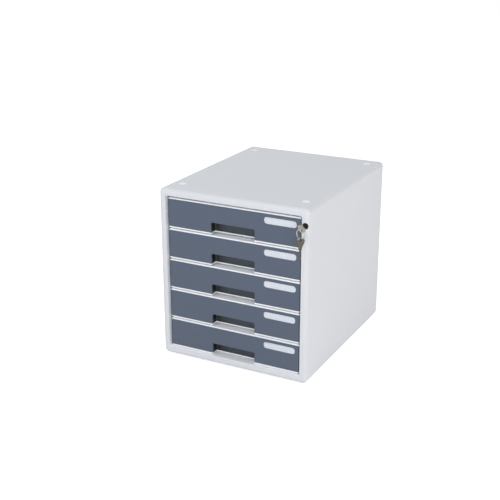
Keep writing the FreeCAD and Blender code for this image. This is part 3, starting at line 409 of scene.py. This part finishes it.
def block(x0, x1, y0, y1, z0, z1, bm=None):
    """Block as a new mesh, or added to one."""
    bm = bm or bmesh.new()
    made = bmesh.ops.create_cube(bm, size=1.0)["verts"]
    centre = Vector((x0 + x1, y0 + y1, z0 + z1)) / 2
    size = Matrix.Diagonal((x1 - x0, y1 - y0, z1 - z0, 1.0))
    bmesh.ops.transform(bm, matrix=Matrix.Translation(centre) @ size, verts=made)
    return bm


def bevel(bm, edges, width, segments):
    bmesh.ops.bevel(bm, geom=edges, offset=width, offset_type="OFFSET", affect="EDGES",
                    segments=segments, profile=0.5, material=-1, clamp_overlap=True)


def edges_where(bm, test):
    """Edges whose two ends both pass the test."""
    return [edge for edge in bm.edges if test(edge.verts[0].co) and test(edge.verts[1].co)]


def faces_where(bm, test):
    return [face for face in bm.faces if all(test(vert.co) for vert in face.verts)]


def pushed(bm, face):
    """Extrudes a face and drops the old one; gives the new face's points, still in place."""
    made = bmesh.ops.extrude_face_region(bm, geom=[face])["geom"]
    bmesh.ops.delete(bm, geom=[face], context="FACES_ONLY")
    return [item for item in made if isinstance(item, bmesh.types.BMVert)]


def spin(bm, profile, axis, steps):
    """Closed profile of points, turned round an axis through the origin."""
    verts = [bm.verts.new(point) for point in profile]
    edges = [bm.edges.new((verts[i - 1], verts[i])) for i in range(len(verts))]
    bmesh.ops.spin(bm, geom=verts + edges, cent=(0, 0, 0), axis=axis, angle=math.tau,
                   steps=steps, use_merge=True)
    bmesh.ops.recalc_face_normals(bm, faces=bm.faces)


def finish_piece(bm, name, body, material, nodes=(), sharp=SHARP_ANGLE):
    """Puts a mesh into the frame as a shaded piece that rides on a body.

    nodes are the CAD nodes that it stands for; edges that fold by more than sharp stay crisp.
    """
    bmesh.ops.transform(bm, matrix=TO_FRAME, verts=bm.verts)
    mesh = bpy.data.meshes.new(name)
    bm.to_mesh(mesh)
    bm.free()
    for polygon in mesh.polygons:
        polygon.use_smooth = True
    mesh.set_sharp_from_angle(angle=sharp)
    mesh.materials.append(material)
    piece = bpy.data.objects.new(name, mesh)
    scene.collection.objects.link(piece)
    shading = piece.modifiers.new("shading", "WEIGHTED_NORMAL")
    shading.keep_sharp = True
    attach(piece, body)
    if nodes:
        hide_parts(*nodes)


def softened(node, name, body, material, width, change=None, merge=True):
    """Copy of a CAD node with its sharp edges rounded.

    change reshapes the copy first; merge joins its flat triangles into larger faces.
    """
    bm = bmesh.new()
    bm.from_mesh(NODES[node].data)
    bmesh.ops.transform(bm, matrix=FROM_FRAME, verts=bm.verts)
    bmesh.ops.remove_doubles(bm, verts=bm.verts, dist=0.002)
    if merge:
        bmesh.ops.dissolve_limit(bm, angle_limit=FLAT_ANGLE, verts=bm.verts, edges=bm.edges)
    if change:
        change(bm)
    edges = [edge for edge in bm.edges
             if len(edge.link_faces) == 2 and edge.calc_face_angle(0.0) > SHARP_ANGLE]
    bevel(bm, edges, width, segments=2)
    finish_piece(bm, name, body, material, [node])


# ---- Casing -----------------------------------------------------------------------------
def boundary(bm, y):
    """Open edges that lie in a plane y."""
    return [edge for edge in bm.edges if len(edge.link_faces) == 1
            and near(edge.verts[0].co.y, y) and near(edge.verts[1].co.y, y)]


def next_loop(bm, edges):
    """Points and edges of a new loop that continues an open border."""
    made = bmesh.ops.extrude_edge_only(bm, edges=edges)["geom"]
    verts = [item for item in made if isinstance(item, bmesh.types.BMVert)]
    loop = [item for item in made if isinstance(item, bmesh.types.BMEdge)
            and item.verts[0] in verts and item.verts[1] in verts]
    return verts, loop


def resize_loop(verts, old, new, y):
    """Moves a rounded rectangle's points onto another one: (half width, bottom, top, radius)."""
    for vert in verts:
        point = []
        for value, low, high, new_low, new_high in (
                (vert.co.x, -old[0], old[0], -new[0], new[0]),
                (vert.co.z, old[1], old[2], new[1], new[2])):
            centre = min(max(value, low + old[3]), high - old[3])
            new_centre = new_low + new[3] if value < (low + high) / 2 else new_high - new[3]
            point.append(new_centre + (value - centre) * new[3] / old[3])
        vert.co = (point[0], y, point[1])


def top_face(bm, x, y):
    """Face of the flat top whose middle is nearest to a place."""
    return min(faces_where(bm, lambda co: near(co.z, HEIGHT)),
               key=lambda face: (face.calc_center_median() - Vector((x, y, HEIGHT))).length)


def cut_dish(bm, x, y):
    """Round stacking dish in the square face of the top at a place."""
    bmesh.ops.subdivide_edges(bm, edges=list(top_face(bm, x, y).edges), cuts=DISH_CUTS)
    top = top_face(bm, x, y)
    bmesh.ops.inset_region(bm, faces=[top], thickness=1.0)   # its points are placed next
    verts = sorted(top.verts, key=lambda v: math.atan2(v.co.y - y, v.co.x - x))
    for number, vert in enumerate(verts):
        angle = -math.pi + math.tau * (number + 0.5) / len(verts)
        vert.co = (x + DISH_RADIUS * math.cos(angle), y + DISH_RADIUS * math.sin(angle), HEIGHT)
    share = DISH_FLOOR / DISH_RADIUS
    for vert in pushed(bm, top):
        vert.co = (x + (vert.co.x - x) * share, y + (vert.co.y - y) * share, HEIGHT - DISH_DEPTH)

    def on_circle(co):
        distance = math.hypot(co.x - x, co.y - y)
        return (near(co.z, HEIGHT) and near(distance, DISH_RADIUS)
                or near(co.z, HEIGHT - DISH_DEPTH) and near(distance, DISH_FLOOR))

    rims = [edge for edge in edges_where(bm, on_circle)
            if near(edge.verts[0].co.z, edge.verts[1].co.z)]
    bevel(bm, rims, DISH_ROUND, segments=3)


def thin_card(bm):
    """Card a little thinner, so that it lies clear of its cover."""
    front = [vert for vert in bm.verts if vert.co.y < CARD_FRONT + CLOSE]
    bmesh.ops.translate(bm, vec=(0, CARD_THINNED, 0), verts=front)


def cut_opening(bm):
    """Rounded opening in the front, as deep as its collar."""
    front = max((face for face in bm.faces if face.normal.y < -0.999),
                key=lambda face: face.calc_area())
    bmesh.ops.inset_region(bm, faces=[front], thickness=1.0)   # its points are placed next
    for vert in front.verts:
        vert.co.x = math.copysign(OPENING_HALF, vert.co.x)
        vert.co.z = OPENING_TOP if vert.co.z > HEIGHT / 2 else OPENING_BOTTOM
    bmesh.ops.translate(bm, vec=(0, COLLAR_DEPTH, 0), verts=pushed(bm, front))

    def on_opening(co):
        inside = abs(co.x) < OPENING_HALF + CLOSE and co.y < COLLAR_DEPTH + CLOSE
        return inside and OPENING_BOTTOM - CLOSE < co.z < OPENING_TOP + CLOSE

    corners = [edge for edge in edges_where(bm, on_opening)
               if near(abs(edge.verts[0].co.y - edge.verts[1].co.y), COLLAR_DEPTH)]
    bevel(bm, corners, OPENING_CORNER, segments=6)
    rim = [edge for edge in edges_where(bm, on_opening)
           if near(edge.verts[0].co.y, 0) and near(edge.verts[1].co.y, 0)]
    bevel(bm, rim, OPENING_ROUND, segments=6)
    bmesh.ops.delete(bm, geom=faces_where(bm, lambda co: near(co.y, COLLAR_DEPTH)),
                     context="FACES_ONLY")


def add_inner_walls(bm):
    """Collar round the opening, and the cavity's walls from there to the rear edge."""
    opening = (OPENING_HALF, OPENING_BOTTOM, OPENING_TOP, OPENING_CORNER)
    collar = (OPENING_HALF + COLLAR_WALL, OPENING_BOTTOM - COLLAR_WALL,
              OPENING_TOP + COLLAR_WALL, OPENING_CORNER + COLLAR_WALL)
    cavity = (HALF - WALL, WALL, HEIGHT - WALL, EDGE_RADIUS - WALL)
    loop = boundary(bm, COLLAR_DEPTH)
    for old, new, y in ((opening, collar, COLLAR_DEPTH), (collar, collar, WALL),
                        (collar, cavity, WALL), (cavity, cavity, REAR - REAR_LIP)):
        verts, loop = next_loop(bm, loop)
        resize_loop(verts, old, new, y)
    bmesh.ops.bridge_loops(bm, edges=loop + boundary(bm, REAR))


def cut_dishes(bm):
    """Squares cut out of the top's face, each with a stacking dish in it."""
    for axis, middles in ((0, (-DISH_X, DISH_X)), (1, (DISH_FRONT_Y, DISH_BACK_Y))):
        for place in (middle + side * DISH_FIELD for middle in middles for side in (-1, 1)):
            top = faces_where(bm, lambda co: near(co.z, HEIGHT))
            # each point and edge once, in the same order on every run
            around = list(dict.fromkeys(item for face in top
                                        for item in [*face.verts, *face.edges]))
            spot, normal = [0, 0, 0], [0, 0, 0]
            spot[axis], normal[axis] = place, 1
            bmesh.ops.bisect_plane(bm, geom=top + around, plane_co=spot, plane_no=normal)
    for x in (-DISH_X, DISH_X):
        for y in (DISH_FRONT_Y, DISH_BACK_Y):
            cut_dish(bm, x, y)


def cabinet_shell():
    """Rounded casing, open at the front and the back, with a sill under the lowest drawer."""
    bm = block(-HALF, HALF, 0, DEPTH, 0, HEIGHT)
    bevel(bm, bm.edges[:], EDGE_RADIUS, segments=10)
    bmesh.ops.bisect_plane(bm, geom=bm.verts[:] + bm.edges[:] + bm.faces[:],
                           plane_co=(0, REAR, 0), plane_no=(0, 1, 0), clear_outer=True)
    cut_opening(bm)
    add_inner_walls(bm)
    cut_dishes(bm)
    block(-OPENING_HALF, OPENING_HALF, COLLAR_DEPTH, SILL_DEPTH,
          OPENING_BOTTOM - COLLAR_WALL, OPENING_BOTTOM, bm)
    bmesh.ops.recalc_face_normals(bm, faces=bm.faces)
    finish_piece(bm, "shell", "cabinet", SHELL, ["cabinet_shell"])


def lock_pad():
    """Flat round pad for the lock, where the casing's edge rounds away."""
    bm = bmesh.new()
    middle = Matrix.Translation(LOCK + Vector((0, PAD_DEPTH / 2, 0)))
    forwards = Matrix.Rotation(math.pi / 2, 4, "X")
    bmesh.ops.create_cone(bm, cap_ends=True, segments=64, radius1=PAD_BASE,
                          radius2=PAD_RADIUS, depth=PAD_DEPTH, matrix=middle @ forwards)
    for place, outward in ((HALF, 1), (HALF - EDGE_RADIUS, -1)):
        cut = bmesh.ops.bisect_plane(bm, geom=bm.verts[:] + bm.edges[:] + bm.faces[:],
                                     plane_co=(place, 0, 0), plane_no=(outward, 0, 0),
                                     clear_outer=True)
        border = [item for item in cut["geom_cut"] if isinstance(item, bmesh.types.BMEdge)]
        bmesh.ops.contextual_create(bm, geom=border)
    rim = [edge for edge in edges_where(bm, lambda co: near(co.y, 0))
           if max(vert.co.x for vert in edge.verts) > HALF - EDGE_RADIUS + CLOSE]
    bevel(bm, rim, PAD_ROUND, segments=3)
    bmesh.ops.recalc_face_normals(bm, faces=bm.faces)
    finish_piece(bm, "lock_pad", "cabinet", SHELL)


# ---- Key ring ---------------------------------------------------------------------------
def key_ring():
    """Two turns of flat wire, side by side, hanging from the key's hole."""
    bm = bmesh.new()
    for side in (-1, 1):
        points = [(RING_RADIUS + radial, side * RING_TURN_OFFSET + axial, 0)
                  for radial, axial in RING_WIRE]
        spin(bm, points, axis=(0, 1, 0), steps=56)
    hang = Matrix.Translation(KEY_HOLE - Vector((0, 0, RING_RADIUS)))
    bmesh.ops.transform(bm, matrix=hang @ Matrix.Rotation(RING_YAW, 4, "Z"), verts=bm.verts)
    finish_piece(bm, "ring", "ring", KEY_NICKEL, ["key_ring"], sharp=RING_SHARP_ANGLE)


# ---- Floor, world and lamps -------------------------------------------------------------
def backdrop_rays(tree):
    """1 for the rays that show the white background, 0 for those that carry its light."""
    rays = add_node(tree, "ShaderNodeLightPath")
    total = rays.outputs["Is Camera Ray"]
    for name in ("Is Glossy Ray", "Is Transmission Ray"):
        node = add_node(tree, "ShaderNodeMath", operation="MAXIMUM")
        link(tree, total, node.inputs[0])
        link(tree, rays.outputs[name], node.inputs[1])
        total = node.outputs["Value"]
    return total


def lamp(name, place, aim, size, power, colour=(1.0, 1.0, 1.0)):
    """Soft rectangular lamp that looks at a place; metres and watts."""
    data = bpy.data.lights.new(name, "AREA")
    data.shape = "RECTANGLE"
    data.size, data.size_y = size
    data.energy = power
    data.color = colour
    obj = bpy.data.objects.new(name, data)
    scene.collection.objects.link(obj)
    turn = (Vector(aim) - Vector(place)).to_track_quat("-Z", "Y").to_matrix().to_4x4()
    obj.matrix_world = Matrix.Translation(place) @ turn


def studio():
    """Pale floor, white world and soft lamps."""
    floor, tree, shader = new_material("floor")
    shader.inputs["Base Color"].default_value = (0.86, 0.86, 0.86, 1.0)
    shader.inputs["Roughness"].default_value = 0.95
    shader.inputs["Specular IOR Level"].default_value = 0.0
    shader.inputs["Emission Color"].default_value = (1.0, 1.0, 1.0, 1.0)
    link(tree, spread(tree, backdrop_rays(tree), 0.0, FLOOR_GLOW),
         shader.inputs["Emission Strength"])
    bm = bmesh.new()
    bmesh.ops.create_grid(bm, x_segments=1, y_segments=1, size=FLOOR_REACH)
    mesh = bpy.data.meshes.new("floor")
    bm.to_mesh(mesh)
    bm.free()
    mesh.materials.append(floor)
    ground = bpy.data.objects.new("floor", mesh)
    scene.collection.objects.link(ground)

    world = bpy.data.worlds.new("studio")
    scene.world = world
    world.use_nodes = True
    tree = world.node_tree
    background = tree.nodes["Background"]
    background.inputs["Color"].default_value = (1.0, 1.0, 1.0, 1.0)
    link(tree, spread(tree, backdrop_rays(tree), WORLD_LIGHT, 1.0),
         background.inputs["Strength"])

    lamp("side_lamp", (1.6, 0.1, 0.2), (0.15, -0.02, 0.1), (0.5, 0.4), 4.0, (1.0, 0.97, 0.94))
    lamp("front_lamp", (1.6, -2.0, 0.95), (0, -0.1, 0.17), (1.0, 0.9), 16.2)
    lamp("top_lamp", (-0.8, -1.6, 2.4), (0, 0, 0.2), (1.1, 1.1), 21.5, (0.95, 0.98, 1.0))
    lamp("low_lamp", (0.0, -2.2, 0.22), (0, -0.1, 0.15), (1.8, 0.36), 3.2)
    lamp("rear_lamp", (-0.5, 1.2, 1.9), (0, 0, 0.3), (1.2, 1.2), 4.5)
    scene.view_settings.view_transform = "Standard"


# ---- Build ------------------------------------------------------------------------------
add_camera()
studio()
cabinet_shell()
lock_pad()
for number in DRAWERS:
    name = "drawer_%d" % number
    softened(name + "_frame", name + "_front_frame", name, TRAY, 0.45)
    softened(name + "_tray", name + "_box", name, TRAY, 0.5)
    softened(name + "_runners", name + "_slides", name, RUNNER, 0.25)
    softened(name + "_front", name + "_panel", name, SLATE, 0.15)
    softened(name + "_label_card", name + "_card", name, CARD, 0.05, change=thin_card)
    softened(name + "_label_cover", name + "_window", name, CLEAR, 0.08)
softened("back_panel", "back_plate", "cabinet", SHELL, 0.5)
softened("runner_panel_right", "right_rails", "cabinet", RUNNER, 0.3)
softened("runner_panel_left", "left_rails", "cabinet", RUNNER, 0.3)
softened("feet", "rubber_feet", "cabinet", RUBBER, 0.6)
softened("back_screws", "screws", "cabinet", SCREW, 0.4)
softened("lock_housing", "lock_body", "cabinet", DARK_NICKEL, 0.12)
softened("lock_clip", "lock_spring_clip", "cabinet", LOCK_STEEL, 0.08)
softened("bar_guides", "bar_blocks", "cabinet", RUNNER, 0.3)
softened("lock_plug", "lock_core", "plug", DARK_NICKEL, 0.08)
softened("lock_cam", "cam_lever", "plug", LOCK_STEEL, 0.12)
softened("cam_screw", "cam_bolt", "plug", SCREW, 0.2)
softened("lock_bar", "hook_bar", "lock_bar", LOCK_STEEL, 0.15)
softened("key_in_lock", "first_key", "key", KEY_NICKEL, 0.08, merge=False)
softened("spare_key", "second_key", "spare_key", KEY_NICKEL, 0.08, merge=False)
key_ring()
